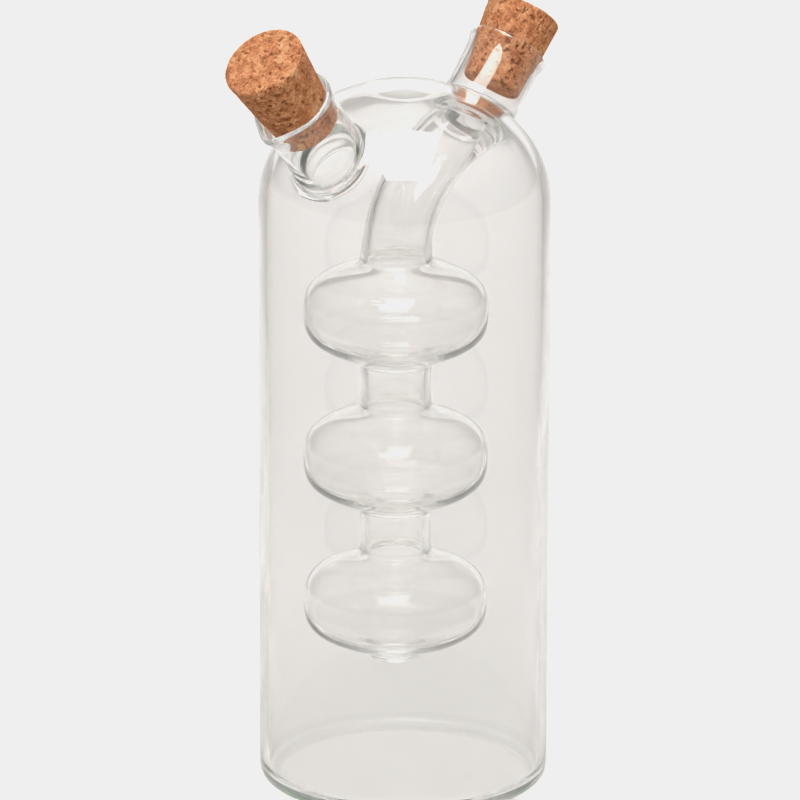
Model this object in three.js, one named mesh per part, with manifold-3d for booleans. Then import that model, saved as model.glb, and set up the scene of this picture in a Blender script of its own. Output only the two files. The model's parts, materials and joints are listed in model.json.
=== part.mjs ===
// Oil and vinegar bottle: a glass jar for the oil with three blown bulbs for the vinegar inside it.
// The bulbs hang from the jar's shoulder on a bent riser, and each liquid has a slanted spout and a cork.
// Millimetres, +Z up, origin at the centre of the foot. Both spouts lean in one upright plane.

import * as THREE from 'three';
import { mergeVertices } from 'three/addons/utils/BufferGeometryUtils.js';
import Module from 'manifold-3d';

// Jar: a foot with a rounded heel, a straight wall and a domed shoulder.
const jarDiameter = 80;
const jarWall = 2.4;
const footThickness = 2.5;
const heelRadius = 3.5;
const floorFillet = 2.5;
const footHeight = 9;
const shoulderHeight = 165.5;
const shoulderRise = 33;

// Spouts: two straight tubes welded over holes in the shoulder, each flared lip drawn into a pouring beak.
const spoutAzimuth = 49;
const spoutDiameter = 21;
const spoutWall = 1.5;
const shoulderHoleDiameter = 15.5;
const oilSpoutTilt = 40;
const oilCrossingDrop = 19;
const oilSpoutLength = 20.8;
const vinegarSpoutTilt = 42;
const vinegarCrossingDrop = 13.5;
const vinegarSpoutLength = 18.2;
const lipHeight = 5;
const lipFlare = 0.8;
const beakReach = 2.6;
const beakHeight = 8;
const beakSharpness = 6;

// Vinegar vessel: three bulbs on two necks, the lowest one sealed with a small pip.
const vesselOffset = 3.45;
const vesselDrop = 14.9;
const bulbDiameter = 50.6;
const bulbHalfHeight = 15.5;
const bulbWall = 1.3;
const bulbFullness = 3.5;
const bulbNeckBlend = 1.8;
const neckDiameter = 19.6;
const neckWall = 1.9;
const neckLength = 10.6;
const pipDiameter = 15;
const pipDepth = 1.6;

// Riser: leaves the top bulb upright and bends over to the vinegar spout.
const riserDiameter = 18;
const riserWall = 1.8;
const riserUpright = 24;
const riserEndTilt = 55;
const riserLead = 16;

// Corks: pressed into the flared lips and standing proud of them.
const oilCorkInserted = 9;
const oilCorkProud = 17.2;
const oilCorkBottomDiameter = 17.5;
const oilCorkTopDiameter = 22.8;
const vinegarCorkInserted = 12.5;
const vinegarCorkProud = 12;
const vinegarCorkBottomDiameter = 16.6;
const vinegarCorkTopDiameter = 21;
const corkEdge = 0.8;

// Gaps: glass that is fused on the real bottle keeps a fine gap, and each cork clears its bore.
const weldGap = 0.3;
const corkClearance = 0.15;

// Facets around each round piece and along each curve.
const jarSides = 40;
const bulbSides = 28;
const tubeSides = 28;
const arcSteps = 4;
const domeSteps = 10;
const bulbSteps = 7;
const riserSteps = 14;

const jarRadius = jarDiameter / 2;
const jarBore = jarRadius - jarWall;
const spoutRadius = spoutDiameter / 2;
const spoutBore = spoutRadius - spoutWall;
const neckRadius = neckDiameter / 2;
const neckBore = neckRadius - neckWall;
const bulbRadius = bulbDiameter / 2;
const bulbSpacing = 2 * bulbHalfHeight + neckLength;
const vesselTop = shoulderHeight - vesselDrop;
const upperBulbHeight = vesselTop - bulbHalfHeight;
const riserRadius = riserDiameter / 2;
const riserBore = riserRadius - riserWall;
const azimuth = THREE.MathUtils.degToRad(spoutAzimuth);
const quarterTurn = Math.PI / 2;

const wasm = await Module();
wasm.setup();

const point = (x, y) => new THREE.Vector2(x, y);

// Steps from 0 to 1, both ends included.
const steps = (count) => Array.from({ length: count + 1 }, (_, i) => i / count);

// Part of an ellipse around a centre, between two angles in radians.
function arc(centreR, centreZ, radiusR, radiusZ, from, to, count) {
  return steps(count).map((t) => {
    const angle = from + t * (to - from);
    return point(centreR + radiusR * Math.cos(angle), centreZ + radiusZ * Math.sin(angle));
  });
}

// Turns a profile of (radius, height) points around +Z. The outer wall runs upwards.
function turned(profile, sides) {
  return new THREE.LatheGeometry(profile, sides).rotateX(quarterTurn);
}

// Turns a closed ring profile: its last point joins its first.
function turnedRing(profile, sides) {
  return turned([...profile, profile[0].clone()], sides);
}

// A closed geometry as a solid that can be joined and cut, without its flat or repeated corners.
function solidOf(geometry) {
  const bare = geometry.clone();
  bare.deleteAttribute('normal');
  bare.deleteAttribute('uv');
  const merged = mergeVertices(bare);
  const corners = Array.from(merged.index.array);
  const kept = [];
  for (let i = 0; i < corners.length; i += 3) {
    const [a, b, c] = corners.slice(i, i + 3);
    if (a !== b && b !== c && c !== a) kept.push(a, b, c);
  }
  const vertProperties = merged.attributes.position.array;
  const triVerts = Uint32Array.from(kept);
  return new wasm.Manifold(new wasm.Mesh({ numProp: 3, vertProperties, triVerts }));
}

function geometryOf(solid) {
  const mesh = solid.getMesh();
  const geometry = new THREE.BufferGeometry();
  geometry.setAttribute('position', new THREE.BufferAttribute(mesh.vertProperties, 3));
  geometry.setIndex(new THREE.BufferAttribute(mesh.triVerts, 1));
  geometry.computeVertexNormals();
  return geometry;
}

function glassMaterial() {
  return new THREE.MeshStandardMaterial({
    color: 0xe6e6e0,
    roughness: 0.04,
    metalness: 0,
    transparent: true,
    opacity: 0.35,
  });
}

function corkMaterial() {
  return new THREE.MeshStandardMaterial({ color: 0xb87345, roughness: 0.9, metalness: 0 });
}

function named(name, geometry, material) {
  const mesh = new THREE.Mesh(geometry, material);
  mesh.name = name;
  return mesh;
}

// The shoulder's outside and inside, from the seam up to the axis, grown by an offset.
const outsideDome = (offset) => {
  return arc(0, shoulderHeight, jarRadius + offset, shoulderRise + offset, 0, quarterTurn, domeSteps);
};
const insideDome = (offset) => outsideDome(offset - jarWall);

// The space under a dome down to a floor, for trimming what meets the shoulder.
function spaceUnder(dome, floorHeight) {
  return turned([point(0, floorHeight), point(dome[0].x, floorHeight), ...dome], jarSides);
}

// A spout's axis leaves the jar's axis at a crossing point below the shoulder seam and leans by a tilt.
function spoutAxis(tiltDegrees, crossingDrop) {
  return { tilt: THREE.MathUtils.degToRad(tiltDegrees), crossingDrop };
}

const oilAxis = spoutAxis(oilSpoutTilt, oilCrossingDrop);
const vinegarAxis = spoutAxis(vinegarSpoutTilt, vinegarCrossingDrop);

// Length along a spout's axis from its crossing point to a dome of a base radius and rise.
function lengthToDome(axis, radius, rise) {
  const sine = Math.sin(axis.tilt);
  const cosine = Math.cos(axis.tilt);
  const a = (sine / radius) ** 2 + (cosine / rise) ** 2;
  const b = (cosine * axis.crossingDrop) / rise ** 2;
  const c = (axis.crossingDrop / rise) ** 2 - 1;
  return (b + Math.sqrt(b * b - a * c)) / a;
}

const lengthOutside = (axis) => lengthToDome(axis, jarRadius, shoulderRise);
const lengthInside = (axis) => lengthToDome(axis, jarBore, shoulderRise - jarWall);

// The place of something made along +Z on a spout's axis, leaning towards +X.
function spoutPlace(axis) {
  const lean = new THREE.Matrix4().makeRotationY(axis.tilt);
  return new THREE.Matrix4().makeTranslation(0, 0, shoulderHeight - axis.crossingDrop).multiply(lean);
}

function jarFoot() {
  const profile = [
    point(0, 0),
    ...arc(jarRadius - heelRadius, heelRadius, heelRadius, heelRadius, -quarterTurn, 0, arcSteps),
    point(jarRadius, footHeight),
    point(jarBore, footHeight),
    ...arc(jarBore - floorFillet, footThickness + floorFillet, floorFillet, floorFillet, 0, -quarterTurn, arcSteps),
    point(0, footThickness),
  ];
  return turned(profile, jarSides);
}

function jarSide() {
  const profile = [
    point(jarRadius, footHeight),
    point(jarRadius, shoulderHeight),
    point(jarBore, shoulderHeight),
    point(jarBore, footHeight),
  ];
  return turnedRing(profile, jarSides);
}

// A drill for the hole under a spout, leaning towards +X.
function shoulderDrill(axis) {
  const reach = lengthOutside(axis) + shoulderHoleDiameter;
  const radius = shoulderHoleDiameter / 2;
  const drill = new THREE.CylinderGeometry(radius, radius, reach, tubeSides).rotateX(quarterTurn);
  return drill.translate(0, 0, reach / 2).applyMatrix4(spoutPlace(axis));
}

// The dome, with a hole under each spout.
function jarShoulder() {
  const profile = [point(jarBore, shoulderHeight), ...outsideDome(0), ...insideDome(0).reverse()];
  const dome = solidOf(turned(profile, jarSides));
  const oilHole = solidOf(shoulderDrill(oilAxis).rotateZ(Math.PI));
  const vinegarHole = solidOf(shoulderDrill(vinegarAxis));
  return geometryOf(dome.subtract(oilHole).subtract(vinegarHole));
}

// Draws the lip out towards local +X, most at the lip itself, into a pouring beak.
function drawBeak(geometry, lip) {
  const position = geometry.attributes.position;
  for (let i = 0; i < position.count; i += 1) {
    const x = position.getX(i);
    const along = Math.max(0, position.getZ(i) - (lip - beakHeight)) / beakHeight;
    const facing = Math.max(0, x / Math.hypot(x, position.getY(i)));
    position.setX(i, x + beakReach * along ** 2 * facing ** beakSharpness);
  }
  return geometry;
}

// A spout along +Z from the crossing point, its foot trimmed to the outside of the shoulder.
function spout(axis, lip) {
  const lipRound = spoutWall / 2;
  const lipCentre = spoutBore + lipFlare + lipRound;
  const start = lengthInside(axis) - spoutRadius;
  const profile = [
    point(spoutRadius, start),
    point(spoutRadius, lip - beakHeight),
    point(spoutRadius, lip - lipHeight),
    ...arc(lipCentre, lip - lipRound, lipRound, lipRound, 0, Math.PI, arcSteps),
    point(spoutBore, lip - lipHeight),
    point(spoutBore, lip - beakHeight),
    point(spoutBore, start),
  ];
  const tube = drawBeak(turnedRing(profile, tubeSides), lip);
  const under = spaceUnder(outsideDome(weldGap), footHeight).applyMatrix4(spoutPlace(axis).invert());
  return geometryOf(solidOf(tube).subtract(solidOf(under)));
}

// A cork along +Z that follows the flare of its lip and then widens to its top.
function cork(lip, inserted, proud, bottomDiameter, topDiameter) {
  const bottom = lip - inserted;
  const top = lip + proud;
  const bottomRadius = bottomDiameter / 2;
  const topRadius = topDiameter / 2;
  const profile = [
    point(0, bottom),
    point(bottomRadius - corkEdge, bottom),
    point(bottomRadius, bottom + corkEdge),
    point(spoutBore - corkClearance, lip - lipHeight),
    point(spoutBore + lipFlare - corkClearance, lip),
    point(topRadius, top - corkEdge),
    point(topRadius - corkEdge, top),
    point(0, top),
  ];
  return turned(profile, tubeSides);
}

// One side of a bulb, from its widest circle to where it runs smoothly into a neck.
function bulbSide(radius, endRadius, halfHeight, direction) {
  return steps(bulbSteps).map((t) => {
    const swell = (1 - t ** bulbFullness) ** bulbNeckBlend;
    return point(endRadius + (radius - endRadius) * swell, direction * halfHeight * t);
  });
}

// A bulb open at both ends, centred on its widest circle.
function openBulb() {
  const innerRadius = bulbRadius - bulbWall;
  const innerHalf = bulbHalfHeight - neckWall;
  const profile = [
    ...bulbSide(bulbRadius, neckRadius, bulbHalfHeight, -1).reverse(),
    ...bulbSide(bulbRadius, neckRadius, bulbHalfHeight, 1).slice(1),
    point(neckBore, bulbHalfHeight),
    ...bulbSide(innerRadius, neckBore, innerHalf, 1).reverse(),
    ...bulbSide(innerRadius, neckBore, innerHalf, -1).slice(1),
    point(neckBore, -bulbHalfHeight),
  ];
  return turnedRing(profile, bulbSides);
}

// The lowest bulb: open at its neck and sealed below with a rounded pip.
function sealedBulb() {
  const innerRadius = bulbRadius - bulbWall;
  const innerHalf = bulbHalfHeight - neckWall;
  const pipRadius = pipDiameter / 2;
  const pipBore = pipRadius - bulbWall;
  const profile = [
    ...arc(0, -bulbHalfHeight, pipRadius, pipDepth, -quarterTurn, 0, arcSteps),
    ...bulbSide(bulbRadius, pipRadius, bulbHalfHeight, -1).reverse().slice(1),
    ...bulbSide(bulbRadius, neckRadius, bulbHalfHeight, 1).slice(1),
    point(neckBore, bulbHalfHeight),
    ...bulbSide(innerRadius, neckBore, innerHalf, 1).reverse(),
    ...bulbSide(innerRadius, pipBore, innerHalf, -1).slice(1),
    ...arc(0, -innerHalf, pipBore, pipDepth, 0, -quarterTurn, arcSteps).slice(1),
  ];
  return turned(profile, bulbSides);
}

function neck() {
  const profile = [
    point(neckRadius, 0),
    point(neckRadius, neckLength),
    point(neckBore, neckLength),
    point(neckBore, 0),
  ];
  return turnedRing(profile, bulbSides);
}

// A bent tube from the top bulb to the inside of the shoulder under the vinegar spout.
function riser() {
  const section = new THREE.Shape().absarc(0, 0, riserRadius, 0, 2 * Math.PI);
  section.holes.push(new THREE.Path().absarc(0, 0, riserBore, 0, 2 * Math.PI, true));
  const endTilt = THREE.MathUtils.degToRad(riserEndTilt);
  const endWay = new THREE.Vector3(Math.sin(endTilt), 0, Math.cos(endTilt));
  const onDome = new THREE.Vector3(0, 0, lengthInside(vinegarAxis)).applyMatrix4(spoutPlace(vinegarAxis));
  const start = new THREE.Vector3(-vesselOffset, 0, vesselTop);
  const upright = new THREE.Vector3(-vesselOffset, 0, vesselTop + riserUpright);
  const end = onDome.clone().addScaledVector(endWay, riserRadius);
  const lead = end.clone().addScaledVector(endWay, -riserLead);
  const path = new THREE.CubicBezierCurve3(start, upright, lead, end);
  const tube = new THREE.ExtrudeGeometry(section, {
    steps: riserSteps,
    curveSegments: tubeSides / 2,
    extrudePath: path,
  });
  const inside = spaceUnder(insideDome(-weldGap), vesselTop + weldGap);
  return geometryOf(solidOf(tube).intersect(solidOf(inside)));
}

function jar() {
  const group = new THREE.Group();
  group.add(named('jar_foot', jarFoot(), glassMaterial()));
  group.add(named('jar_side', jarSide(), glassMaterial()));
  group.add(named('jar_shoulder', jarShoulder(), glassMaterial()));
  return group;
}

// The bulbs and necks, from the top bulb down.
function vessel() {
  const group = new THREE.Group();
  group.position.x = -vesselOffset;
  ['upper_bulb', 'middle_bulb', 'lower_bulb'].forEach((name, level) => {
    const geometry = name === 'lower_bulb' ? sealedBulb() : openBulb();
    const bulb = named(name, geometry, glassMaterial());
    bulb.position.z = upperBulbHeight - level * bulbSpacing;
    group.add(bulb);
  });
  ['upper_neck', 'lower_neck'].forEach((name, level) => {
    const link = named(name, neck(), glassMaterial());
    link.position.z = upperBulbHeight - level * bulbSpacing - bulbHalfHeight - neckLength;
    group.add(link);
  });
  return group;
}

// A spout with its cork, leaning towards +X from its crossing point on the jar's axis.
function pourer(axis, spoutMesh, corkMesh) {
  const group = new THREE.Group();
  group.position.z = shoulderHeight - axis.crossingDrop;
  group.rotation.y = axis.tilt;
  group.add(spoutMesh);
  group.add(corkMesh);
  return group;
}

function oilPourer() {
  const lip = lengthOutside(oilAxis) + oilSpoutLength;
  const stopper = cork(lip, oilCorkInserted, oilCorkProud, oilCorkBottomDiameter, oilCorkTopDiameter);
  const spoutMesh = named('oil_spout', spout(oilAxis, lip), glassMaterial());
  return pourer(oilAxis, spoutMesh, named('oil_cork', stopper, corkMaterial()));
}

function vinegarPourer() {
  const lip = lengthOutside(vinegarAxis) + vinegarSpoutLength;
  const bottomDiameter = vinegarCorkBottomDiameter;
  const stopper = cork(lip, vinegarCorkInserted, vinegarCorkProud, bottomDiameter, vinegarCorkTopDiameter);
  const spoutMesh = named('vinegar_spout', spout(vinegarAxis, lip), glassMaterial());
  return pourer(vinegarAxis, spoutMesh, named('vinegar_cork', stopper, corkMaterial()));
}

const oilSide = new THREE.Group();
oilSide.rotation.z = Math.PI;
oilSide.add(oilPourer());

const bottle = new THREE.Group();
bottle.rotation.z = azimuth;
bottle.add(jar());
bottle.add(vessel());
bottle.add(named('riser_tube', riser(), glassMaterial()));
bottle.add(vinegarPourer());
bottle.add(oilSide);

export default bottle;
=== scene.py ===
# %% [markdown]
# # An oil and vinegar bottle in blown glass
# The bottle is one fused piece of clear glass with two corks. A jar holds the oil. Inside it hang three
# blown bulbs for the vinegar, which a bent tube joins to the second spout. This lesson models the glass
# as a single closed skin, because light in glass bends at every surface, and a gap or a doubled wall
# would show as a dark line.

# %% Load the frame
import json
import math
from collections import namedtuple

import bpy
from mathutils import Matrix, Vector
from mathutils.geometry import interpolate_bezier


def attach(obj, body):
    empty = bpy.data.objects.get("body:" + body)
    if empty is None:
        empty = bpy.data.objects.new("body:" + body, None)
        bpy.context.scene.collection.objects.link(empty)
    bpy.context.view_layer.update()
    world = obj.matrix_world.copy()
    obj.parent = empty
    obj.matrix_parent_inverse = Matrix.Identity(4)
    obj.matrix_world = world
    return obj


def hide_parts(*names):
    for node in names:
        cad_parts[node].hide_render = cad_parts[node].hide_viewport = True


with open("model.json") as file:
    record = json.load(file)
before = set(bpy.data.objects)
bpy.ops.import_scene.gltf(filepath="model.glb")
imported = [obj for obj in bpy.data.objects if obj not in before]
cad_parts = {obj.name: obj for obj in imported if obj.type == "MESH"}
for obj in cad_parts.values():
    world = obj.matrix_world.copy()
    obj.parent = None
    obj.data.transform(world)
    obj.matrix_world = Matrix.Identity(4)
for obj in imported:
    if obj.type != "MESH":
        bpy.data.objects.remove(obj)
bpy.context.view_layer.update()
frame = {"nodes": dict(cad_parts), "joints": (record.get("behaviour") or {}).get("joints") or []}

MM = 0.001

# %% [markdown]
# ## Measuring the frame
# Sizes come from the solids that the frame holds, so the glass always fits them. Both spouts lean in one
# upright plane. The work is easier when that plane is XZ, so the model is made unturned and turned to its
# real azimuth at the end.

# %% Measure the jar and the vinegar vessel
joint_axes = {joint["child"]: Vector(joint["axis"]).normalized() for joint in frame["joints"]}
AZIMUTH = math.atan2(joint_axes["vinegar_stopper"].y, joint_axes["vinegar_stopper"].x)
UNTURN = Matrix.Rotation(-AZIMUTH, 3, "Z")


def corners(node):
    """The corners of a CAD node, turned so that both spouts lean in the XZ plane."""
    return [UNTURN @ vertex.co for vertex in frame["nodes"][node].data.vertices]


def from_axis(point, x=0.0):
    """How far a point lies from an upright axis in the XZ plane."""
    return math.hypot(point.x - x, point.y)


ON_AXIS = 0.1 * MM
wall = [from_axis(corner) for corner in corners("jar_side")]
JAR_RADIUS, JAR_BORE = max(wall), min(wall)
SEAM = max(corner.z for corner in corners("jar_side"))
DOME_RISE = max(corner.z for corner in corners("jar_shoulder")) - SEAM
FLOOR = max(corner.z for corner in corners("jar_foot") if from_axis(corner) < ON_AXIS)
JAR_WALL = JAR_RADIUS - JAR_BORE
INNER_RISE = DOME_RISE - JAR_WALL

neck = corners("upper_neck")
VESSEL_X = sum(corner.x for corner in neck) / len(neck)
NECK_RADIUS = max(from_axis(corner, VESSEL_X) for corner in neck)
NECK_BORE = min(from_axis(corner, VESSEL_X) for corner in neck)
bulb = corners("upper_bulb")
BULB_RADIUS = max(from_axis(corner, VESSEL_X) for corner in bulb)
VESSEL_TOP = max(corner.z for corner in bulb)
BULB_HALF = (VESSEL_TOP - min(corner.z for corner in bulb)) / 2
BULB_SPACING = VESSEL_TOP - max(corner.z for corner in corners("middle_bulb"))
VESSEL_BOTTOM = min(corner.z for corner in corners("lower_bulb"))
print(f"jar {JAR_RADIUS:.4f} m outside, {JAR_BORE:.4f} m inside, bulbs {BULB_RADIUS:.4f} m")

# %% [markdown]
# ## The spouts' axes
# A spout's axis leaves the jar's axis at a crossing point and leans outwards. All that belongs to a spout
# is placed by its length from that point. The dome is half of a flattened sphere, so where a line along
# a spout meets it is a quadratic equation.

# %% Set out the spouts' axes
SHOULDER = Vector((0, 0, SEAM))


def onto_dome(point, direction, radius, rise):
    """Slides a point along a direction until it lies on a dome of a base radius and rise."""
    squash = Vector((1 / radius, 1 / radius, 1 / rise))
    start = (point - SHOULDER) * squash
    step = direction * squash
    half = start.dot(step)
    root = math.sqrt(half * half - step.dot(step) * (start.dot(start) - 1))
    return point + direction * ((root - half) / step.dot(step))


class Spout:
    """A spout's axis in the XZ plane. Lengths count from where it crosses the jar's axis."""

    def __init__(self, body, spout_node, cork_node):
        self.axis = UNTURN @ joint_axes[body]
        self.lean = math.atan2(self.axis.x, self.axis.z)
        stopper = corners(cork_node)
        middle = sum(stopper, Vector()) / len(stopper)
        self.crossing = middle - self.axis * (middle.x / self.axis.x)
        self.lip = max(self.length_of(corner) for corner in corners(spout_node))
        self.foot = self.length_of(onto_dome(self.crossing, self.axis, JAR_RADIUS, DOME_RISE))
        self.inner_foot = self.length_of(onto_dome(self.crossing, self.axis, JAR_BORE, INNER_RISE))
        self.side = math.copysign(1, self.axis.x)

    def length_of(self, point):
        return (point - self.crossing).dot(self.axis)

    def at(self, length):
        return self.crossing + self.axis * length


oil = Spout("oil_stopper", "oil_spout", "oil_cork")
vinegar = Spout("vinegar_stopper", "vinegar_spout", "vinegar_cork")
for name, spout in (("oil", oil), ("vinegar", vinegar)):
    print(f"{name} spout: foot at {spout.foot:.4f} m, lip at {spout.lip:.4f} m, lean {spout.lean:.3f}")

# %% [markdown]
# ## The camera
# The photograph was taken with a long lens from about two metres, looking down at about 17 degrees.
# The frame is square, so the lens follows from the picture's width.

# %% Place the camera
IMAGE_SIZE = 800
FOCAL_PIXELS = 7267
VIEW_DISTANCE = 2.0
VIEW_ELEVATION = math.radians(16.6)
VIEW_ROLL = math.radians(0.15)
VIEW_CENTRE = Vector((-1.1 * MM, 0, 108.5 * MM))
SENSOR_WIDTH = 36.0
VIEW_REACH = 50.0

bpy.ops.object.select_all(action="DESELECT")
towards_camera = Vector((0, -math.cos(VIEW_ELEVATION), math.sin(VIEW_ELEVATION)))
view_turn = Matrix.Rotation(math.pi / 2 - VIEW_ELEVATION, 4, "X") @ Matrix.Rotation(VIEW_ROLL, 4, "Z")
camera_at = VIEW_CENTRE + towards_camera * VIEW_DISTANCE
bpy.ops.object.camera_add(location=camera_at, rotation=view_turn.to_euler())
camera = bpy.context.object
camera.data.sensor_width = SENSOR_WIDTH
camera.data.lens = SENSOR_WIDTH * FOCAL_PIXELS / IMAGE_SIZE
camera.data.clip_end = VIEW_REACH
bpy.context.scene.camera = camera
print("camera at", [round(x, 4) for x in camera.location], "lens", round(camera.data.lens, 1))

# %% [markdown]
# ## Rings, the way to blow glass in Blender
# Glass tubes, bulbs and jars are round, so each skin starts as a circle that is extruded from ring to
# ring, moved, scaled and leaned at each step. The rings are only a cage: a Subdivision Surface rounds it
# at the end, which also melts the welds together as a flame does. A smoothed ring lies a little inside
# its corners, so the corners stand out by as much.

# %% Helpers for rings and caps
Ring = namedtuple("Ring", "centre lean radius")
TUBE_SIDES = 24
JAR_SIDES = 48


def cage_radius(radius, sides):
    return radius * 3 / (2 + math.cos(2 * math.pi / sides))


def upright(radius, height, x=0.0):
    return Ring(Vector((x, 0, height)), 0.0, radius)


def ring_tube(name, rings, sides):
    """Adds a circle at the first ring and extrudes it through the others."""
    first = rings[0]
    bpy.ops.object.select_all(action="DESELECT")
    radius = cage_radius(first.radius, sides)
    bpy.ops.mesh.primitive_circle_add(
        vertices=sides, radius=radius, location=first.centre, rotation=(0, first.lean, 0)
    )
    tube = bpy.context.object
    tube.name = name
    bpy.ops.object.transform_apply(location=True, rotation=True, scale=True)
    bpy.ops.object.mode_set(mode="EDIT")
    bpy.ops.mesh.select_mode(type="VERT")
    bpy.ops.mesh.select_all(action="SELECT")
    for before, ring in zip(rings, rings[1:]):
        bpy.ops.mesh.extrude_region_move(TRANSFORM_OT_translate={"value": ring.centre - before.centre})
        bpy.ops.transform.resize(value=[ring.radius / before.radius] * 3, center_override=ring.centre)
        bpy.ops.transform.rotate(value=before.lean - ring.lean, orient_axis="Y", center_override=ring.centre)
    bpy.ops.object.mode_set(mode="OBJECT")
    return tube


def select_only(piece, indices=(), polygons=()):
    """Selects only these corners or faces of a piece, and leaves it in edit mode."""
    bpy.ops.object.select_all(action="DESELECT")
    piece.select_set(True)
    bpy.context.view_layer.objects.active = piece
    bpy.ops.object.mode_set(mode="EDIT")
    bpy.ops.mesh.select_mode(type="FACE" if polygons else "VERT")
    bpy.ops.mesh.select_all(action="DESELECT")
    bpy.ops.object.mode_set(mode="OBJECT")
    for index in indices:
        piece.data.vertices[index].select = True
    for index in polygons:
        piece.data.polygons[index].select = True
    bpy.ops.object.mode_set(mode="EDIT")


def ring_corners(piece, ring, sides):
    """The corner numbers of one ring, counted from the first, or from the last with a negative number."""
    count = len(piece.data.vertices)
    start = ring * sides if ring >= 0 else count + ring * sides
    return range(start, start + sides)


def cap(piece, ring, sides):
    """Closes a ring with a grid of squares, and returns the numbers of the new corners."""
    before = len(piece.data.vertices)
    select_only(piece, ring_corners(piece, ring, sides))
    bpy.ops.mesh.fill_grid(span=sides // 4)
    bpy.ops.object.mode_set(mode="OBJECT")
    return range(before, len(piece.data.vertices))


def remember(piece, group, indices):
    """Names an open loop, so that it can be found again when pieces are joined."""
    piece.vertex_groups.new(name=group).add(list(indices), 1.0, "REPLACE")


# %% [markdown]
# ## The jar's two skins
# The outside and the inside of the jar have the same form: out over the base, round a corner, up the wall
# and over the dome. A ring of triangles at the top would pinch the reflections, so both ends are closed
# with a grid of squares.

# %% Model the jar's outside and inside
HEEL_RADIUS = 3.5 * MM
FLOOR_FILLET = 3.0 * MM
CORNER_STEPS = 3
DOME_ROW = math.radians(11.25)
DOME_FIRST_ROW = math.radians(4.0)
DOME_ROWS = 7
DOME_SWELL = 3 / (2 + math.cos(DOME_ROW))
BASE_GRID = 0.6
WALL_SHARES = (0.0, 0.35, 0.7, 0.95)


def jar_skin(name, radius, base, corner, rise):
    """One skin of the jar, from its base to the top of its dome."""
    flat = radius - corner
    rings = [upright(BASE_GRID * flat, base), upright(flat - corner, base)]
    for step in range(CORNER_STEPS + 1):
        angle = step / CORNER_STEPS * math.pi / 2
        across = flat + corner * math.sin(angle)
        rings.append(upright(across, base + corner * (1 - math.cos(angle))))
    straight = base + 2 * corner
    rings += [upright(radius, straight + share * (SEAM - straight)) for share in WALL_SHARES]
    dome_radius, dome_rise = radius * DOME_SWELL, rise * DOME_SWELL
    for row in range(DOME_ROWS):
        angle = DOME_FIRST_ROW + row * DOME_ROW
        rings.append(upright(dome_radius * math.cos(angle), SEAM + dome_rise * math.sin(angle)))
    skin = ring_tube(name, rings, JAR_SIDES)
    top = cap(skin, -1, JAR_SIDES)
    swell = cage_radius(1.0, JAR_SIDES)
    for index in top:
        corner_at = skin.data.vertices[index].co
        across = from_axis(corner_at) / swell
        corner_at.z = SEAM + dome_rise * math.sqrt(1 - (across / dome_radius) ** 2)
    cap(skin, 0, JAR_SIDES)
    print(f"{name}: {len(rings)} rings, {len(skin.data.polygons)} squares")
    return skin


outside = jar_skin("glass_outside", JAR_RADIUS, 0.0, HEEL_RADIUS, DOME_RISE)
chamber = jar_skin("glass_chamber", JAR_BORE, FLOOR, FLOOR_FILLET, INNER_RISE)

# %% [markdown]
# ## Holes for the welds
# A spout is welded over a hole in the dome. A patch of squares is deleted there, eight wide and four
# high, which leaves a loop of as many corners as a tube has, so a tube's end can be bridged to it.

# %% Cut the holes
HOLE_HALF_WIDTH = 4.5 * 2 * math.pi / JAR_SIDES
HOLE_LOW = DOME_FIRST_ROW + 1 * DOME_ROW
HOLE_HIGH = DOME_FIRST_ROW + 5 * DOME_ROW


def cut_hole(skin, side, rise, group):
    """Deletes the patch of the dome under a spout and remembers the loop around it."""
    low = SEAM + rise * math.sin(HOLE_LOW)
    high = SEAM + rise * math.sin(HOLE_HIGH)
    patch = []
    for face in skin.data.polygons:
        aside = abs(math.atan2(face.center.y, side * face.center.x))
        if low < face.center.z < high and aside < HOLE_HALF_WIDTH - math.pi / JAR_SIDES:
            patch.append(face.index)
    select_only(skin, polygons=patch)
    bpy.ops.mesh.region_to_loop()
    bpy.ops.object.mode_set(mode="OBJECT")
    remember(skin, group, [vertex.index for vertex in skin.data.vertices if vertex.select])
    select_only(skin, polygons=patch)
    bpy.ops.mesh.delete(type="FACE")
    bpy.ops.object.mode_set(mode="OBJECT")
    print(f"{group}: {len(patch)} squares cut out")


cut_hole(outside, oil.side, DOME_RISE, "oil_foot")
cut_hole(outside, vinegar.side, DOME_RISE, "vinegar_foot")
cut_hole(chamber, oil.side, INNER_RISE, "oil_hole")
cut_hole(chamber, vinegar.side, INNER_RISE, "riser_weld")

# %% [markdown]
# ## The spouts
# Each spout is a straight tube with a melted lip. Its outside flares into the weld, and its bore narrows
# at the hole in the dome. The oil's hole has a short stub that is turned back on itself inside the jar. The
# vinegar's bore runs on as a throat into the riser. Rings that lie on the curved dome are slid onto it
# along the spout.

# %% Model the spouts
SPOUT_RADIUS = 10.5 * MM
SPOUT_BORE = 9.0 * MM
HOLE_RADIUS = 7.75 * MM
WELD_RADIUS = 11.6 * MM
WELD_LIFT = 0.5 * MM
STUB_DROP = 0.9 * MM
LIP_RADIUS = 11.3 * MM
LIP_BORE = 9.75 * MM
LIP_RISE = 0.8 * MM
THROAT = (
    (8.5 * MM, 2.0 * MM, math.radians(2)),
    (7.7 * MM, 4.0 * MM, math.radians(5)),
    (7.2 * MM, 5.4 * MM, math.radians(8)),
    (7.6 * MM, 6.8 * MM, math.radians(9)),
)
THROAT_SHIFT = Vector((-0.7 * MM, 0.8 * MM, 0))
THROAT_TURN = math.radians(18)


def spout_rings(spout, outline):
    """Rings on a spout's axis from pairs of a radius and a length."""
    return [Ring(spout.at(length), spout.lean, radius) for radius, length in outline]


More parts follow.
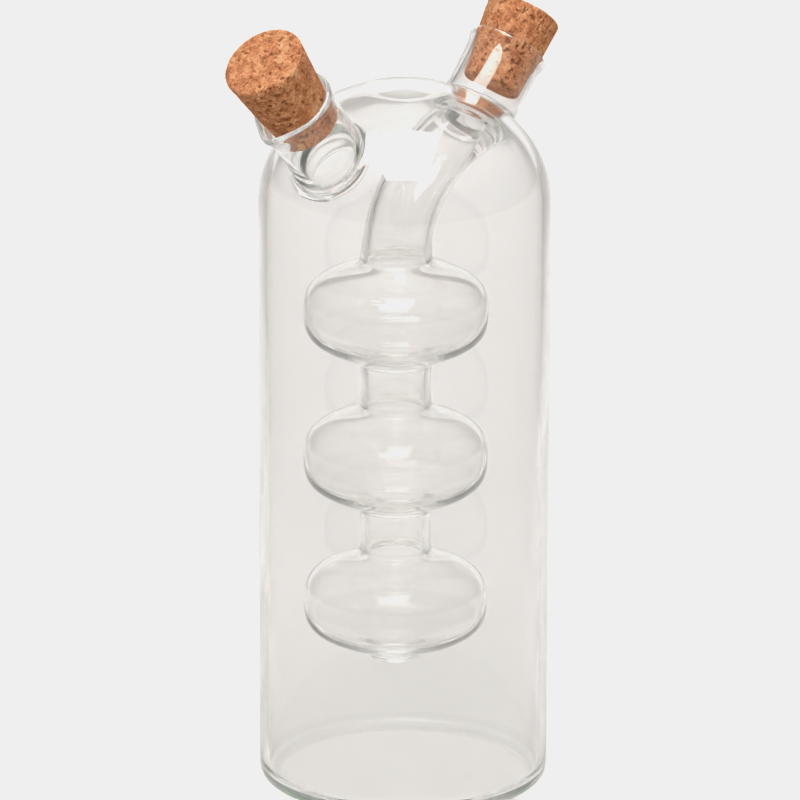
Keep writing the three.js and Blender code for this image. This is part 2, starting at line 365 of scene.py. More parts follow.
def lay_on_dome(piece, ring, spout, radius, rise, lift=0.0):
    """Slides a ring along its spout until it follows a dome, or stands a little above it."""
    for index in ring_corners(piece, ring, TUBE_SIDES):
        corner = piece.data.vertices[index]
        on_dome = onto_dome(corner.co, spout.axis, radius * DOME_SWELL, rise * DOME_SWELL)
        corner.co = on_dome + spout.axis * lift


def spout_outside(spout):
    """From the weld on the dome up to the lip and a little way down the bore."""
    lip, foot = spout.lip + LIP_RISE, spout.foot
    return [
        (WELD_RADIUS, foot),
        (SPOUT_RADIUS + 0.35 * MM, foot),
        (SPOUT_RADIUS, foot + 3.0 * MM),
        (SPOUT_RADIUS, lip - 8.0 * MM),
        (SPOUT_RADIUS + 0.15 * MM, lip - 3.6 * MM),
        (LIP_RADIUS - 0.1 * MM, lip - 1.9 * MM),
        (LIP_RADIUS + 0.15 * MM, lip - 0.7 * MM),
        (LIP_RADIUS - 0.45 * MM, lip + 0.15 * MM),
        (LIP_BORE + 0.35 * MM, lip + 0.1 * MM),
        (LIP_BORE, lip - 0.9 * MM),
        (SPOUT_BORE + 0.45 * MM, lip - 2.6 * MM),
        (SPOUT_BORE, lip - 5.5 * MM),
        (SPOUT_BORE, lip - 9.0 * MM),
        (SPOUT_BORE, foot + 2.6 * MM),
        (SPOUT_BORE - 0.15 * MM, foot + 0.2 * MM),
    ]


oil_stub = [
    (SPOUT_BORE - 0.3 * MM, oil.foot - 2.4 * MM),
    (HOLE_RADIUS + 0.4 * MM, oil.foot - 5.0 * MM),
    (HOLE_RADIUS, oil.foot - 7.0 * MM),
    (HOLE_RADIUS + 0.1 * MM, oil.foot - 8.0 * MM),
    (HOLE_RADIUS + 0.6 * MM, oil.foot - 8.4 * MM),
    (HOLE_RADIUS + 1.2 * MM, oil.foot - 7.8 * MM),
    (HOLE_RADIUS + 1.7 * MM, oil.foot - 6.0 * MM),
    (HOLE_RADIUS + 2.5 * MM, oil.inner_foot),
    (HOLE_RADIUS + 4.0 * MM, oil.inner_foot),
]
oil_tube = ring_tube("glass_oil_spout", spout_rings(oil, spout_outside(oil) + oil_stub), TUBE_SIDES)
vinegar_throat = spout_rings(vinegar, spout_outside(vinegar))
for radius, length, extra_lean in THROAT:
    throat_centre = vinegar.at(vinegar.foot - length) + THROAT_SHIFT
    vinegar_throat.append(Ring(throat_centre, vinegar.lean + extra_lean, radius))
vinegar_tube = ring_tube("glass_vinegar_spout", vinegar_throat, TUBE_SIDES)
for ring in range(-len(THROAT), 0):
    select_only(vinegar_tube, ring_corners(vinegar_tube, ring, TUBE_SIDES))
    bpy.ops.transform.rotate(value=-THROAT_TURN, orient_axis="Z", center_override=vinegar_throat[ring].centre)
    bpy.ops.object.mode_set(mode="OBJECT")
for spout, tube in ((oil, oil_tube), (vinegar, vinegar_tube)):
    lay_on_dome(tube, 0, spout, JAR_RADIUS, DOME_RISE)
    lay_on_dome(tube, 1, spout, JAR_RADIUS, DOME_RISE, WELD_LIFT)
lay_on_dome(oil_tube, -1, oil, JAR_BORE, INNER_RISE)
lay_on_dome(oil_tube, -2, oil, JAR_BORE, INNER_RISE, -STUB_DROP)
remember(oil_tube, "oil_foot", ring_corners(oil_tube, 0, TUBE_SIDES))
remember(oil_tube, "oil_hole", ring_corners(oil_tube, -1, TUBE_SIDES))
remember(vinegar_tube, "vinegar_foot", ring_corners(vinegar_tube, 0, TUBE_SIDES))
remember(vinegar_tube, "vinegar_bore", ring_corners(vinegar_tube, -1, TUBE_SIDES))
print("spouts:", len(oil_tube.data.polygons), "and", len(vinegar_tube.data.polygons), "squares")

# %% [markdown]
# ## The pouring beaks
# While the lip is hot, one side is drawn out and down into a small beak. Proportional editing does the
# same: a few corners are pulled, and their neighbours follow less and less.

# %% Draw out the beaks
BEAK_REACH = 2.6 * MM
BEAK_SPREAD = 6.5 * MM
LIP_RINGS = (5, 6, 7, 8, 9)


def draw_beak(tube, spout):
    """Pulls the lowest corners of the lip outwards."""
    downhill = Vector((spout.side * math.cos(spout.lean), 0, -math.sin(abs(spout.lean))))
    tip = []
    for ring in LIP_RINGS:
        numbers = ring_corners(tube, ring, TUBE_SIDES)
        tip.append(max(numbers, key=lambda number: tube.data.vertices[number].co.dot(downhill)))
    select_only(tube, tip)
    bpy.ops.transform.translate(
        value=downhill * BEAK_REACH,
        use_proportional_edit=True,
        use_proportional_connected=True,
        proportional_edit_falloff="SMOOTH",
        proportional_size=BEAK_SPREAD,
    )
    bpy.ops.object.mode_set(mode="OBJECT")
    print(f"{tube.name}: beak drawn out by {BEAK_REACH:.4f} m")


draw_beak(oil_tube, oil)
draw_beak(vinegar_tube, vinegar)

# %% [markdown]
# ## The vinegar vessel
# The bulbs were blown one above the other from one tube, which then bends over and flares into the dome.
# The outside and the inside are two skins of rings along the same path. A bulb is full in the middle and
# runs into its necks with a soft curve, which two powers describe. The glass is thinnest at a bulb's
# widest part, where it was blown out furthest.

# %% Model the outside and inside of the vessel
BULB_WALL = 1.1 * MM
SHOULDER_WALL = 1.5 * MM
NECK_WALL = NECK_RADIUS - NECK_BORE
BULB_FULLNESS = 4.2
BULB_NECK_BLEND = 2.4
NECK_WAIST = 0.35 * MM
BULB_SHARES = (-1.0, -0.95, -0.87, -0.76, -0.62, -0.45, -0.24, 0.0, 0.24, 0.45, 0.62, 0.76, 0.87, 0.95, 1.0)
PIP_RADIUS = 7.5 * MM
RISER_RADIUS = 9.3 * MM
RISER_BORE = 7.75 * MM
RISER_UPRIGHT = 24.0 * MM
RISER_LEAD = 16.0 * MM
RISER_END_LEAN = math.radians(55)
RISER_SHARES = (0.1, 0.24, 0.38, 0.52, 0.64)
RISER_PATH_POINTS = 101
RISER_FLARE = ((4.6 * MM, 0.4 * MM), (2.2 * MM, 0.9 * MM))
PIP_TIP = 0.45
PIP_EDGE = 0.85
PIP_ROUND = 0.4 * MM
NECK_SHARES = (0.2, 0.5, 0.8)
LOWEST_BULB = 2


def bulb_rings(centre, radius, low_half, high_half, low_end, high_end):
    """Rings of one bulb from its lower neck to its upper neck."""
    rings = []
    for share in BULB_SHARES:
        end = low_end if share < 0 else high_end
        half = low_half if share < 0 else high_half
        swell = (1 - abs(share) ** BULB_FULLNESS) ** BULB_NECK_BLEND
        rings.append(upright(end + (radius - end) * swell, centre + half * share, VESSEL_X))
    return rings


def riser_path():
    """Points of the riser's bend, from the top bulb to the dome under the vinegar spout."""
    way = Vector((math.sin(RISER_END_LEAN), 0, math.cos(RISER_END_LEAN)))
    start = Vector((VESSEL_X, 0, VESSEL_TOP))
    end = vinegar.at(vinegar.inner_foot) + way * RISER_RADIUS
    return interpolate_bezier(
        start, start + Vector((0, 0, RISER_UPRIGHT)), end - way * RISER_LEAD, end, RISER_PATH_POINTS
    )


def riser_rings(radius):
    """Rings along the bend, leaning with it."""
    path = riser_path()
    rings = []
    for share in RISER_SHARES:
        index = round(share * (RISER_PATH_POINTS - 1))
        way = path[index + 1] - path[index - 1]
        rings.append(Ring(path[index], math.atan2(way.x, way.z), radius))
    return rings


def vessel_skin(radius, low_half, high_half, neck, pip, bottom, riser_radius):
    """One skin of the vessel from its sealed bottom up to the riser's end."""
    rings = [upright(PIP_TIP * pip, bottom, VESSEL_X)]
    rings.append(upright(PIP_EDGE * pip, bottom + PIP_ROUND, VESSEL_X))
    for level in range(LOWEST_BULB, -1, -1):
        centre = VESSEL_TOP - BULB_HALF - level * BULB_SPACING
        low_end = pip if level == LOWEST_BULB else neck
        rings += bulb_rings(centre, radius, low_half, high_half, low_end, neck)
        if level > 0:
            gap = BULB_SPACING - low_half - high_half
            for share in NECK_SHARES:
                waist = neck - NECK_WAIST * (1 - abs(2 * share - 1))
                rings.append(upright(waist, centre + high_half + share * gap, VESSEL_X))
    rings += riser_rings(riser_radius)
    return rings


outside_rings = vessel_skin(
    BULB_RADIUS, BULB_HALF, BULB_HALF, NECK_RADIUS, PIP_RADIUS, VESSEL_BOTTOM, RISER_RADIUS
)
weld = vinegar.inner_foot
for below, wider in RISER_FLARE:
    outside_rings.append(Ring(vinegar.at(weld - below), vinegar.lean, RISER_RADIUS + wider))
outside_rings.append(Ring(vinegar.at(weld), vinegar.lean, WELD_RADIUS))
vessel_outside = ring_tube("glass_vessel_outside", outside_rings, TUBE_SIDES)
lay_on_dome(vessel_outside, -1, vinegar, JAR_BORE, INNER_RISE)
remember(vessel_outside, "riser_weld", ring_corners(vessel_outside, -1, TUBE_SIDES))
cap(vessel_outside, 0, TUBE_SIDES)

inner_bottom = VESSEL_BOTTOM + NECK_WALL
inside_rings = vessel_skin(
    BULB_RADIUS - BULB_WALL,
    BULB_HALF - NECK_WALL,
    BULB_HALF - SHOULDER_WALL,
    NECK_BORE,
    PIP_RADIUS - BULB_WALL,
    inner_bottom,
    RISER_BORE,
)
vessel_inside = ring_tube("glass_vessel_inside", inside_rings, TUBE_SIDES)
remember(vessel_inside, "vinegar_bore", ring_corners(vessel_inside, -1, TUBE_SIDES))
cap(vessel_inside, 0, TUBE_SIDES)
print("vessel:", len(outside_rings), "rings outside,", len(inside_rings), "inside")

# %% [markdown]
# ## Welding the glass
# All skins are joined and each pair of loops that share a name is bridged, so the glass becomes one closed
# surface. Normals are made to point out of the glass, and the Subdivision Surface rounds it all.

# %% Join, bridge and smooth the glass
skins = [outside, chamber, oil_tube, vinegar_tube, vessel_outside, vessel_inside]
WELDS = ("oil_foot", "vinegar_foot", "oil_hole", "riser_weld", "vinegar_bore")
SMOOTH_LEVELS = 2
MERGE_GAP = 0.01 * MM

bpy.ops.object.select_all(action="DESELECT")
for skin in skins:
    skin.select_set(True)
bpy.context.view_layer.objects.active = outside
bpy.ops.object.join()
glass = outside
glass.name = "glass_bottle"
glass.data.name = "glass_bottle"
for weld_name in WELDS:
    bpy.ops.object.mode_set(mode="EDIT")
    bpy.ops.mesh.select_mode(type="VERT")
    bpy.ops.mesh.select_all(action="DESELECT")
    bpy.ops.object.vertex_group_set_active(group=weld_name)
    bpy.ops.object.vertex_group_select()
    bpy.ops.mesh.bridge_edge_loops()
    bpy.ops.object.mode_set(mode="OBJECT")
glass.vertex_groups.clear()
bpy.ops.object.mode_set(mode="EDIT")
bpy.ops.mesh.select_all(action="SELECT")
bpy.ops.mesh.remove_doubles(threshold=MERGE_GAP)
bpy.ops.mesh.normals_make_consistent(inside=False)
bpy.ops.mesh.select_all(action="DESELECT")
bpy.ops.mesh.select_non_manifold()
bpy.ops.object.mode_set(mode="OBJECT")
open_corners = sum(vertex.select for vertex in glass.data.vertices)
glass.rotation_euler.z = AZIMUTH
bpy.ops.object.transform_apply(location=True, rotation=True, scale=True)
smooth = glass.modifiers.new("Melt", "SUBSURF")
smooth.levels = SMOOTH_LEVELS
smooth.render_levels = SMOOTH_LEVELS
bpy.ops.object.modifier_apply(modifier=smooth.name)
bpy.ops.object.shade_smooth()
print("glass:", len(glass.data.polygons), "faces,", open_corners, "open corners in the cage")

# %% [markdown]
# ## The corks
# Each stopper follows the outline of its solid in the frame. Rows close to a corner of the outline keep
# that edge crisp when the Subdivision Surface rounds the rest. The oil's cork stands a little further out
# of its lip than its solid does. The vinegar's cork was pushed in a little askew, so it stands more upright
# than its spout.

# %% Model the corks
CORK_SIDES = 48
CORK_LEVELS = 3
CORK_ROW = 2.6 * MM
CORK_EDGE = 0.3 * MM
CORK_RIM = 0.9 * MM
VINEGAR_CORK_TILT = math.radians(4.5)
OIL_CORK_RISE = 1.6 * MM


def cork_outline(node, spout):
    """Pairs of radius and length along the cork, read from its solid."""
    rows = {}
    for corner in corners(node):
        length = spout.length_of(corner)
        radius = (corner - spout.at(length)).length
        rows[round(length, 5)] = max(radius, rows.get(round(length, 5), 0.0))
    return [(rows[length], length) for length in sorted(rows)]


def refine(outline):
    """Adds rows to an outline: close to its corners, and at even steps between them."""
    rows = [(outline[0][0] - CORK_RIM, outline[0][1]), outline[0]]
    for (radius_a, length_a), (radius_b, length_b) in zip(outline, outline[1:]):
        span = length_b - length_a
        parts = max(1, round(span / CORK_ROW))
        shares = [part / parts for part in range(1, parts)]
        if span > 3 * CORK_EDGE:
            shares = [CORK_EDGE / span] + shares + [1 - CORK_EDGE / span]
        for share in shares + [1.0]:
            rows.append((radius_a + share * (radius_b - radius_a), length_a + share * span))
    rows.append((outline[-1][0] - CORK_RIM, outline[-1][1]))
    return rows


def cork_piece(name, node, spout, tilt=0.0, taller=0.0):
    """A cork with crisp rims, leaned by a tilt about the middle of its spout's lip."""
    outline = cork_outline(node, spout)
    outline = [(radius, length + (taller if length > spout.lip else 0.0)) for radius, length in outline]
    piece = ring_tube(name, spout_rings(spout, refine(outline)), CORK_SIDES)
    cap(piece, -1, CORK_SIDES)
    cap(piece, 0, CORK_SIDES)
    bpy.ops.object.mode_set(mode="EDIT")
    bpy.ops.mesh.select_all(action="SELECT")
    bpy.ops.transform.rotate(value=tilt, orient_axis="Y", center_override=spout.at(spout.lip))
    bpy.ops.mesh.normals_make_consistent(inside=False)
    bpy.ops.object.mode_set(mode="OBJECT")
    piece.rotation_euler.z = AZIMUTH
    bpy.ops.object.transform_apply(location=True, rotation=True, scale=True)
    smooth = piece.modifiers.new("Round", "SUBSURF")
    smooth.levels = CORK_LEVELS
    smooth.render_levels = CORK_LEVELS
    bpy.ops.object.modifier_apply(modifier=smooth.name)
    bpy.ops.object.shade_smooth()
    print(f"{name}: {len(piece.data.polygons)} faces from an outline of {len(outline)} corners")
    return piece


oil_cork = cork_piece("oil_cork_stopper", "oil_cork", oil, taller=OIL_CORK_RISE)
vinegar_cork = cork_piece("vinegar_cork_stopper", "vinegar_cork", vinegar, VINEGAR_CORK_TILT)

# %% [markdown]
# ## Pits and grain in the corks
# Pressed cork is full of small pits. A Displace modifier pushes the surface in where a cloud pattern is
# darkest, and a second, finer one roughens all of it. How deep each corner went is kept as an attribute,
# so that the finish can paint shade into the pits later, darker where they are deeper.

# %% Press the pits into the corks
PIT_SIZE = 1.05 * MM
PIT_DEPTH = 0.55 * MM
PIT_EDGES = (0.27, 0.34)
GRAIN_SIZE = 0.7 * MM
GRAIN_DEPTH = 0.16 * MM
GRAIN_EDGES = (0.25, 0.75)


def dent(piece, name, size, depth, edges):
    """Pushes the surface in where a cloud pattern lies below two edges."""
    pattern = bpy.data.textures.new(name, "CLOUDS")
    pattern.noise_scale = size
    pattern.noise_depth = 1
    pattern.use_color_ramp = True
    ramp = pattern.color_ramp.elements
    for element, place, shade in zip(ramp, edges, (1.0, 0.0)):
        element.position = place
        element.color = (shade, shade, shade, 1.0)
    push = piece.modifiers.new(name, "DISPLACE")
    push.texture = pattern
    push.texture_coords = "LOCAL"
    push.mid_level = 0.0
    push.strength = -depth
    bpy.context.view_layer.objects.active = piece
    bpy.ops.object.modifier_apply(modifier=push.name)


for piece in (oil_cork, vinegar_cork):
    even = [vertex.co.copy() for vertex in piece.data.vertices]
    dent(piece, "pits", PIT_SIZE, PIT_DEPTH, PIT_EDGES)
    pit = piece.data.attributes.new("pit", "FLOAT", "POINT")
    for corner, before, row in zip(piece.data.vertices, even, pit.data):
        row.value = (corner.co - before).length / PIT_DEPTH
    dent(piece, "grain", GRAIN_SIZE, GRAIN_DEPTH, GRAIN_EDGES)
    deepest = max(row.value for row in pit.data) * PIT_DEPTH
    print(f"{piece.name}: deepest pit {deepest / MM:.2f} mm")

# %% [markdown]
# ## Materials as expressions
# A shader is easier to read as arithmetic. This small class wraps a socket of a node tree: sums and
# products of its values add Math nodes, and one method adds any other node.

# %% A class for shader values


class Value:
    """A socket in a material's node tree."""

    def __init__(self, tree, socket):
        self.tree = tree
        self.socket = socket

    def node(self, kind, inputs, settings=None, output=0):
        """Adds a node of a kind, sets it up, feeds its sockets and returns one of its outputs."""
        made = self.tree.nodes.new(kind)
        for name, setting in (settings or {}).items():
            if name == "stops":
                ramp = made.color_ramp.elements
                while len(ramp) < len(setting):
                    ramp.new(0.5)
                for element, (position, colour) in zip(ramp, setting):
                    element.position = position
                    element.color = (*colour, 1.0)
            else:
                setattr(made, name, setting)
        for name, value in inputs.items():
            fitting = [socket for socket in made.inputs if socket.name == name and socket.enabled]
            socket = fitting[0] if fitting else made.inputs[name]
            if isinstance(value, Value):
                self.tree.links.new(value.socket, socket)
            else:
                socket.default_value = value
        return Value(self.tree, made.outputs[output])

    def math(self, operation, first, second):
        return self.node("ShaderNodeMath", {0: first, 1: second}, {"operation": operation})

    def __add__(self, other):
        return self.math("ADD", self, other)

    __radd__ = __add__

    def __mul__(self, other):
        return self.math("MULTIPLY", self, other)

    __rmul__ = __mul__

    def __sub__(self, other):
        return self.math("SUBTRACT", self, other)

    def __rsub__(self, other):
        return self.math("SUBTRACT", other, self)


def new_material(name):
    """An empty material, its output node and its object coordinates."""
    material = bpy.data.materials.new(name)
    material.use_nodes = True
    tree = material.node_tree
    tree.nodes.clear()
    output = tree.nodes.new("ShaderNodeOutputMaterial")
    place = Value(tree, tree.nodes.new("ShaderNodeTexCoord").outputs["Object"])
    return material, output, place


# %% [markdown]
# ## Clear glass
# The glass is borosilicate: an index of 1.47, and only the thick edges look faintly green, which a
# little absorption inside gives. Blown glass is never quite even, so a slight bump ripples it. Lamps and
# light from the floor reach the corks through it, because plain glass hardly casts a shadow. The renderer
# won't bend such light without much noise, so glass counts as simply clear for it.

# %% Make the glass
GLASS_INDEX = 1.47
GLASS_TINT = (1.0, 0.996, 0.99, 1.0)
CLEAR_TINT = (0.975, 0.975, 0.97, 1.0)
EDGE_GREEN = (0.7, 0.95, 0.75, 1.0)
EDGE_DENSITY = 1.5
RIPPLE_SCALE = 55.0
RIPPLE_STRENGTH = 0.05
RIPPLE_HEIGHT = 0.2 * MM


def glass_finish():
    """Clear glass with a slight ripple and green edges."""
    material, output, place = new_material("clear_blown_glass")
    tree = material.node_tree
    noise = {"Vector": place, "Scale": RIPPLE_SCALE, "Detail": 1.0, "Roughness": 0.4}
    ripple = place.node("ShaderNodeTexNoise", noise)
    relief = {"Height": ripple, "Strength": RIPPLE_STRENGTH, "Distance": RIPPLE_HEIGHT}
    bump = place.node("ShaderNodeBump", relief)
    body = place.node(
        "ShaderNodeBsdfPrincipled",
        {
            "Base Color": GLASS_TINT,
            "Roughness": 0.0,
            "IOR": GLASS_INDEX,
            "Transmission Weight": 1.0,
            "Normal": bump,
        },
    )
    clear = place.node("ShaderNodeBsdfTransparent", {"Color": CLEAR_TINT})
    path = tree.nodes.new("ShaderNodeLightPath")
    lamps = Value(tree, path.outputs["Is Shadow Ray"])
    bounced = Value(tree, path.outputs["Is Diffuse Ray"])
    either = lamps.math("MAXIMUM", lamps, bounced)
    shader = place.node("ShaderNodeMixShader", {0: either, 1: body, 2: clear})
    inside = place.node("ShaderNodeVolumeAbsorption", {"Color": EDGE_GREEN, "Density": EDGE_DENSITY})
    tree.links.new(shader.socket, output.inputs["Surface"])
    tree.links.new(inside.socket, output.inputs["Volume"])
    return material


glass.data.materials.clear()
glass.data.materials.append(glass_finish())
print("glass finish:", glass.data.materials[0].name)

# %% [markdown]
# ## Pressed cork
# Stoppers of this kind are pressed from granules one to three millimetres across. Each granule has its
# own tan, so a Voronoi texture gives every cell a tone, noise breaks it up into fibres and flecks, and
# the attribute of the pits paints shade into them: the deeper a pit, the darker.

# %% Make the cork
CORK_TANS = [
    (0.08, (0.25, 0.075, 0.023)),
    (0.36, (0.53, 0.185, 0.064)),
    (0.6, (0.69, 0.29, 0.112)),
    (0.92, (0.86, 0.49, 0.26)),
]
# Painted shade in the pits: the deeper a pit, the more its tan is mixed towards this dark brown.
PAINTED_PIT_SHADE = (0.2, 0.06, 0.022, 1.0)
PIT_SHADE = 0.7
GRANULE_SCALE = 520.0
FLECK_SCALE = 1500.0
BLOTCH_SCALE = 330.0
GRANULE_WEIGHT = 0.36
FLECK_WEIGHT = 1.4
BLOTCH_WEIGHT = 0.6
TONE_SHIFT = 0.66
WARP_SCALE = 420.0
WARP_REACH = 0.0011
CORK_BUMP = 0.5
CORK_BUMP_HEIGHT = 0.25 * MM
CORK_ROUGHNESS = 0.78
ROUGHNESS_SPREAD = 0.2


def cork_finish():
    """Pressed granules in many tans, with painted shade in the pits."""
    material, output, place = new_material("pressed_cork")
    tree = material.node_tree
    warp = place.node("ShaderNodeTexNoise", {"Vector": place, "Scale": WARP_SCALE, "Detail": 2.0}, output=1)
    reach = (WARP_REACH, WARP_REACH, WARP_REACH)
    bent = place.node("ShaderNodeVectorMath", {0: warp, 1: reach, 2: place}, {"operation": "MULTIPLY_ADD"})
    cells = place.node("ShaderNodeTexVoronoi", {"Vector": bent, "Scale": GRANULE_SCALE}, output=1)
    granule = place.node("ShaderNodeSeparateColor", {"Color": cells})
    specks = {"Vector": bent, "Scale": FLECK_SCALE, "Detail": 3.0, "Roughness": 0.7}
    fleck = place.node("ShaderNodeTexNoise", specks)
    blotch = place.node("ShaderNodeTexNoise", {"Vector": bent, "Scale": BLOTCH_SCALE, "Detail": 2.0})
    tone = GRANULE_WEIGHT * granule + FLECK_WEIGHT * fleck + BLOTCH_WEIGHT * blotch - TONE_SHIFT
    tan = place.node("ShaderNodeValToRGB", {"Fac": tone}, {"stops": CORK_TANS})
    # Painted shade: each pit's depth mixes the tan towards the dark shade brown.
    depth = place.node("ShaderNodeAttribute", {}, {"attribute_name": "pit"}, output="Fac")
    colour = place.node(
        "ShaderNodeMix",
        {"Factor": depth * PIT_SHADE, "A": tan, "B": PAINTED_PIT_SHADE},
        {"data_type": "RGBA", "clamp_factor": True},
        output=2,
    )
    relief = {"Height": fleck, "Strength": CORK_BUMP, "Distance": CORK_BUMP_HEIGHT}
    bump = place.node("ShaderNodeBump", relief)
    roughness = CORK_ROUGHNESS + ROUGHNESS_SPREAD * blotch
    looks = {"Base Color": colour, "Roughness": roughness, "Normal": bump}
    body = place.node("ShaderNodeBsdfPrincipled", looks)
    tree.links.new(body.socket, output.inputs["Surface"])
    return material


pressed_cork = cork_finish()
for piece in (oil_cork, vinegar_cork):
    piece.data.materials.clear()
    piece.data.materials.append(pressed_cork)
print("cork finish:", pressed_cork.name)

# %% [markdown]
# ## The floor
# The bottle stands on a large, plain, pale floor. It has no shine, so all that the glass shows of it is how
# brightly it is lit.

# %% Lay the floor
FLOOR_SIZE = 12.0
FLOOR_GAP = 0.3 * MM
FLOOR_PALE = (0.8, 0.8, 0.8, 1.0)

bpy.ops.object.select_all(action="DESELECT")
bpy.ops.mesh.primitive_plane_add(size=FLOOR_SIZE, location=(0, 0, -FLOOR_GAP))
floor = bpy.context.object
floor.name = "studio_floor"
floor_material, floor_output, floor_place = new_material("studio_floor")
matt = {"Base Color": FLOOR_PALE, "Roughness": 1.0, "Specular IOR Level": 0.0}
floor_body = floor_place.node("ShaderNodeBsdfPrincipled", matt)
floor_material.node_tree.links.new(floor_body.socket, floor_output.inputs["Surface"])
floor.data.materials.append(floor_material)
print("floor:", FLOOR_SIZE, "m square")

# %% [markdown]
# ## Softboxes
# A softbox overhead is what the glass mirrors as square white patches. A smaller one shows only through
# the glass, where the inner walls mirror it. Neither lights the floor or the corks. They hang at different
# heights, because one would hide the other at the same height.

# %% Hang the softboxes
SOFTBOX_AT = Vector((0.0, -0.48, 1.45))
SOFTBOX_SIZE = (0.86, 1.34)
SOFTBOX_POWER = 50.0
INNER_SOFTBOX_AT = Vector((-0.06, -0.36, 1.43))
INNER_SOFTBOX_SIZE = (0.7, 1.0)
INNER_SOFTBOX_POWER = 10.0


def softbox(name, location, size, power):
    """A rectangular soft light that shines straight down."""
    bpy.ops.object.select_all(action="DESELECT")
    bpy.ops.object.light_add(type="AREA", location=location)
    lamp = bpy.context.object
    lamp.name = name
    lamp.data.shape = "RECTANGLE"
    lamp.data.size = size[0]
    lamp.data.size_y = size[1]
    lamp.data.energy = power
    return lamp


overhead = softbox("overhead_softbox", SOFTBOX_AT, SOFTBOX_SIZE, SOFTBOX_POWER)
overhead.visible_diffuse = False
overhead.visible_transmission = False
inner_overhead = softbox(
    "inner_overhead_softbox", INNER_SOFTBOX_AT, INNER_SOFTBOX_SIZE, INNER_SOFTBOX_POWER
)
inner_overhead.visible_diffuse = False
inner_overhead.visible_glossy = False
print("softboxes:", overhead.name, "and", inner_overhead.name)

# %% [markdown]
# ## Lights for the floor and the corks
# Wide, soft, slightly warm light comes from above and a little in front. The corks get more of it than the
# floor. A narrow beam from above brightens the floor around and behind the bottle, so that the background
# is white there and falls off gently to the sides and the front. That falloff is what draws the lines along
# the edges of the tubes. None of these lamps is mirrored in the glass.

# %% Light the floor and the corks
FILL_TILT = math.radians(22)
FILL_SPREAD = math.radians(80)
FILL_HEIGHT = 3.0
FILL_POWER = 2.25
FILL_COLOUR = (1.0, 0.95, 0.905)
CORK_FILL_POWER = 1.4
CORK_FILL_COLOUR = (1.0, 0.97, 0.94)
BEAM_AT = Vector((0.0, 0.6, 1.15))
BEAM_SIZE = (0.5, 1.48)
BEAM_POWER = 1.34
BEAM_SPREAD = math.radians(9)


def hide_from_glass(lamp):
    """A lamp that lights the set but isn't mirrored in the glass or seen through it."""
    lamp.data.cycles.use_multiple_importance_sampling = False
    lamp.visible_glossy = False
    lamp.visible_transmission = False


def light_only(lamp, name, pieces):
    """Lets a lamp light only some pieces, as flags do in a studio."""
    group = bpy.data.collections.new(name)
    for piece in pieces:
        group.objects.link(piece)
    lamp.light_linking.receiver_collection = group


def sky_light(name, power, colour):
    """Wide soft light from above and a little in front."""
    bpy.ops.object.light_add(type="SUN", location=(0, 0, FILL_HEIGHT), rotation=(FILL_TILT, 0, 0))
    lamp = bpy.context.object
    lamp.name = name
    lamp.data.energy = power
    lamp.data.color = colour
    lamp.data.angle = FILL_SPREAD
    hide_from_glass(lamp)
    return lamp


sky_light("even_fill", FILL_POWER, FILL_COLOUR)
cork_fill = sky_light("cork_fill", CORK_FILL_POWER, CORK_FILL_COLOUR)
light_only(cork_fill, "lit_by_cork_fill", [oil_cork, vinegar_cork])
beam = softbox("floor_softbox", BEAM_AT, BEAM_SIZE, BEAM_POWER)
beam.data.spread = BEAM_SPREAD
beam.data.use_shadow = False
hide_from_glass(beam)
light_only(beam, "lit_by_floor_softbox", [floor])
print("lamps:", [lamp.name for lamp in bpy.context.scene.objects if lamp.type == "LIGHT"])

# %% [markdown]
# ## The room
# Glass gets its dark lines from what is dark around it. The room is dim, its ceiling a little lighter, and
# a pale backdrop stands low behind the bottle. The room lights nothing: it is only mirrored and seen
# through the glass.

# %% Paint the room
ROOM_GLOW = 0.2
ROOM_COLOUR = (1.0, 0.98, 0.96, 1.0)
CEILING_GLOW = 0.35
CEILING_EDGES = (0.2, 0.8)
BACKDROP_GLOW = 0.75
BACKDROP_SIDES = (0.5, 0.8)
BACKDROP_DEPTH = (0.3, 0.6)


def ease(value, edges):
    """A mask that eases from 0 to 1 as a value goes from the first edge to the second."""
    inputs = {"Value": value, "From Min": edges[0], "From Max": edges[1]}
    return value.node("ShaderNodeMapRange", inputs, {"interpolation_type": "SMOOTHSTEP"})


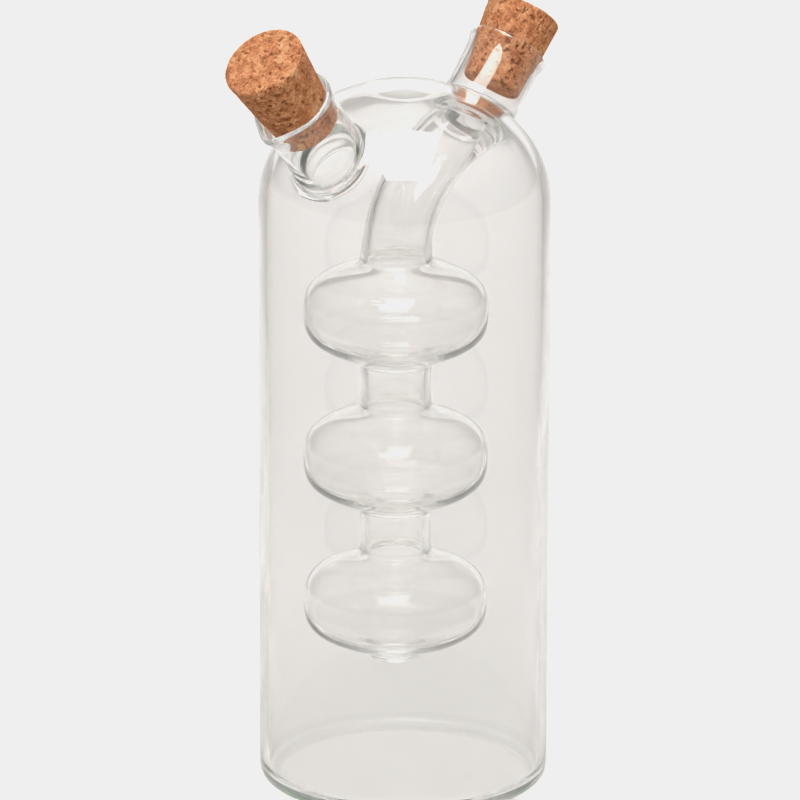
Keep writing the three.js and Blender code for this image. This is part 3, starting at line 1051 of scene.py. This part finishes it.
world = bpy.data.worlds.new("studio_room")
world.use_nodes = True
world.cycles_visibility.diffuse = False
bpy.context.scene.world = world
room = world.node_tree
way = Value(room, room.nodes.new("ShaderNodeTexCoord").outputs["Generated"])
across = way.node("ShaderNodeSeparateXYZ", {"Vector": way}, output="X")
sideways = way.math("ABSOLUTE", across, 0.0)
backwards = way.node("ShaderNodeSeparateXYZ", {"Vector": way}, output="Y")
upwards = way.node("ShaderNodeSeparateXYZ", {"Vector": way}, output="Z")
central = 1 - ease(sideways + upwards, BACKDROP_SIDES)
behind = ease(backwards, BACKDROP_DEPTH)
ceiling = CEILING_GLOW * ease(upwards, CEILING_EDGES)
paleness = ROOM_GLOW + ceiling + BACKDROP_GLOW * central * behind
background = room.nodes["Background"]
room.links.new(paleness.socket, background.inputs["Strength"])
background.inputs["Color"].default_value = ROOM_COLOUR
print("room:", world.name)

# %% [markdown]
# ## How the picture is developed
# White paper in the photograph isn't pure white, so a curve stops all brighter tones at one level. Light
# in this bottle crosses many surfaces and can run a long way inside a wall, so it gets many bounces: with
# few, the necks and the heel turn dark.

# %% Set the tones and the bounces
PAPER_WHITE = 0.863
BOUNCES = 96
CLEAR_BOUNCES = 48
BOUNCE_CLAMP = 40.0
ALL_CHANNELS = 3

scene = bpy.context.scene
scene.view_settings.view_transform = "Standard"
scene.view_settings.look = "None"
scene.view_settings.use_curve_mapping = True
levels = scene.view_settings.curve_mapping
levels.extend = "HORIZONTAL"
curve = levels.curves[ALL_CHANNELS]
curve.points[1].location = (PAPER_WHITE, PAPER_WHITE)
curve.points.new(1.0, PAPER_WHITE)
for point in curve.points:
    point.handle_type = "VECTOR"
levels.update()
scene.cycles.max_bounces = BOUNCES
scene.cycles.transmission_bounces = BOUNCES
scene.cycles.glossy_bounces = BOUNCES
scene.cycles.transparent_max_bounces = CLEAR_BOUNCES
scene.cycles.caustics_refractive = False
scene.cycles.caustics_reflective = False
scene.cycles.sample_clamp_indirect = BOUNCE_CLAMP
scene.cycles.use_denoising = True
print("white stops at", PAPER_WHITE, "with", BOUNCES, "bounces")

# %% [markdown]
# ## Hand over to the frame
# Every piece rides on the body that carries it, and the solids that it stands for are hidden.

# %% Ride and hide the solids
GLASS_NODES = [node for node in frame["nodes"] if not node.endswith("cork")]
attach(glass, "bottle")
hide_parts(*GLASS_NODES)
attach(oil_cork, "oil_stopper")
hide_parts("oil_cork")
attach(vinegar_cork, "vinegar_stopper")
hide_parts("vinegar_cork")
